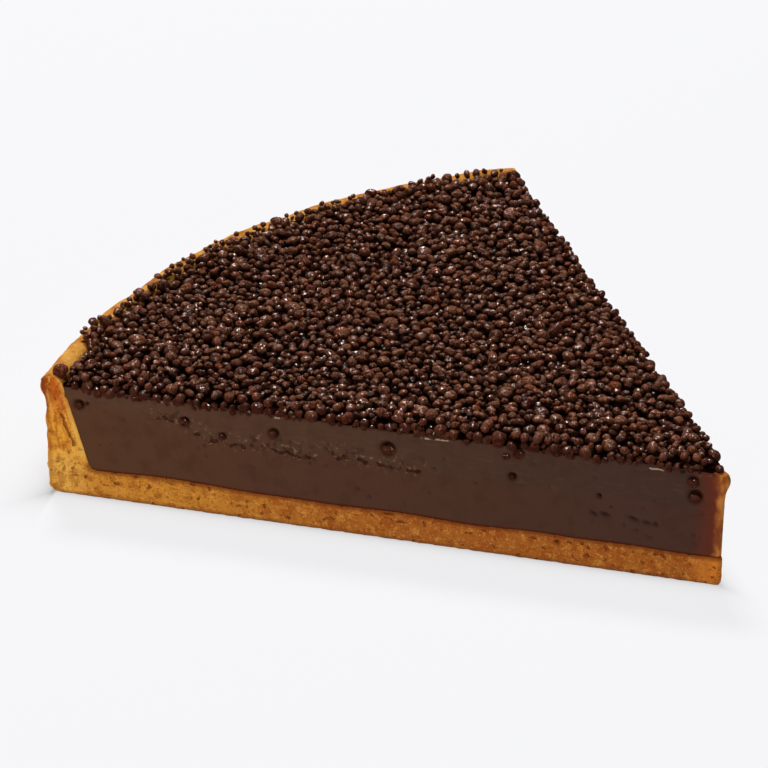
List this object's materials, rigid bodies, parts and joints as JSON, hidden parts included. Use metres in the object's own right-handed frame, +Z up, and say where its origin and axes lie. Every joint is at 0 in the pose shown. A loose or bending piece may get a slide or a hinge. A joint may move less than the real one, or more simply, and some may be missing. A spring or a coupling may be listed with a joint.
{
  "type": "chocolate tart slice",
  "caption": "Wedge slice of a chocolate tart: a thin baked pastry shell with a low rim, filled with smooth set chocolate and covered with small chocolate pearls.",
  "frame": {"origin": "middle of the slice's box in X and Y, on the flat underside that it rests on", "axes": "+X along the front cut face towards the thin tip of the slice; +Y away from that cut face, across the slice; +Z up, through the base, filling and pearls"},
  "size_m": [0.122, 0.1054, 0.0254],
  "materials": {
    "baked_pastry": "matte golden-brown baked shortcrust, crumbly where cut",
    "set_chocolate": "satin dark-brown set chocolate cream, smooth where cut",
    "chocolate_pearls": "dark-brown chocolate pearls with small soft glints"
  },
  "bodies": {
    "root": {"pastry_shell": "baked_pastry", "chocolate_filling": "set_chocolate", "pearl_topping": "chocolate_pearls"}
  },
  "joints": []
}
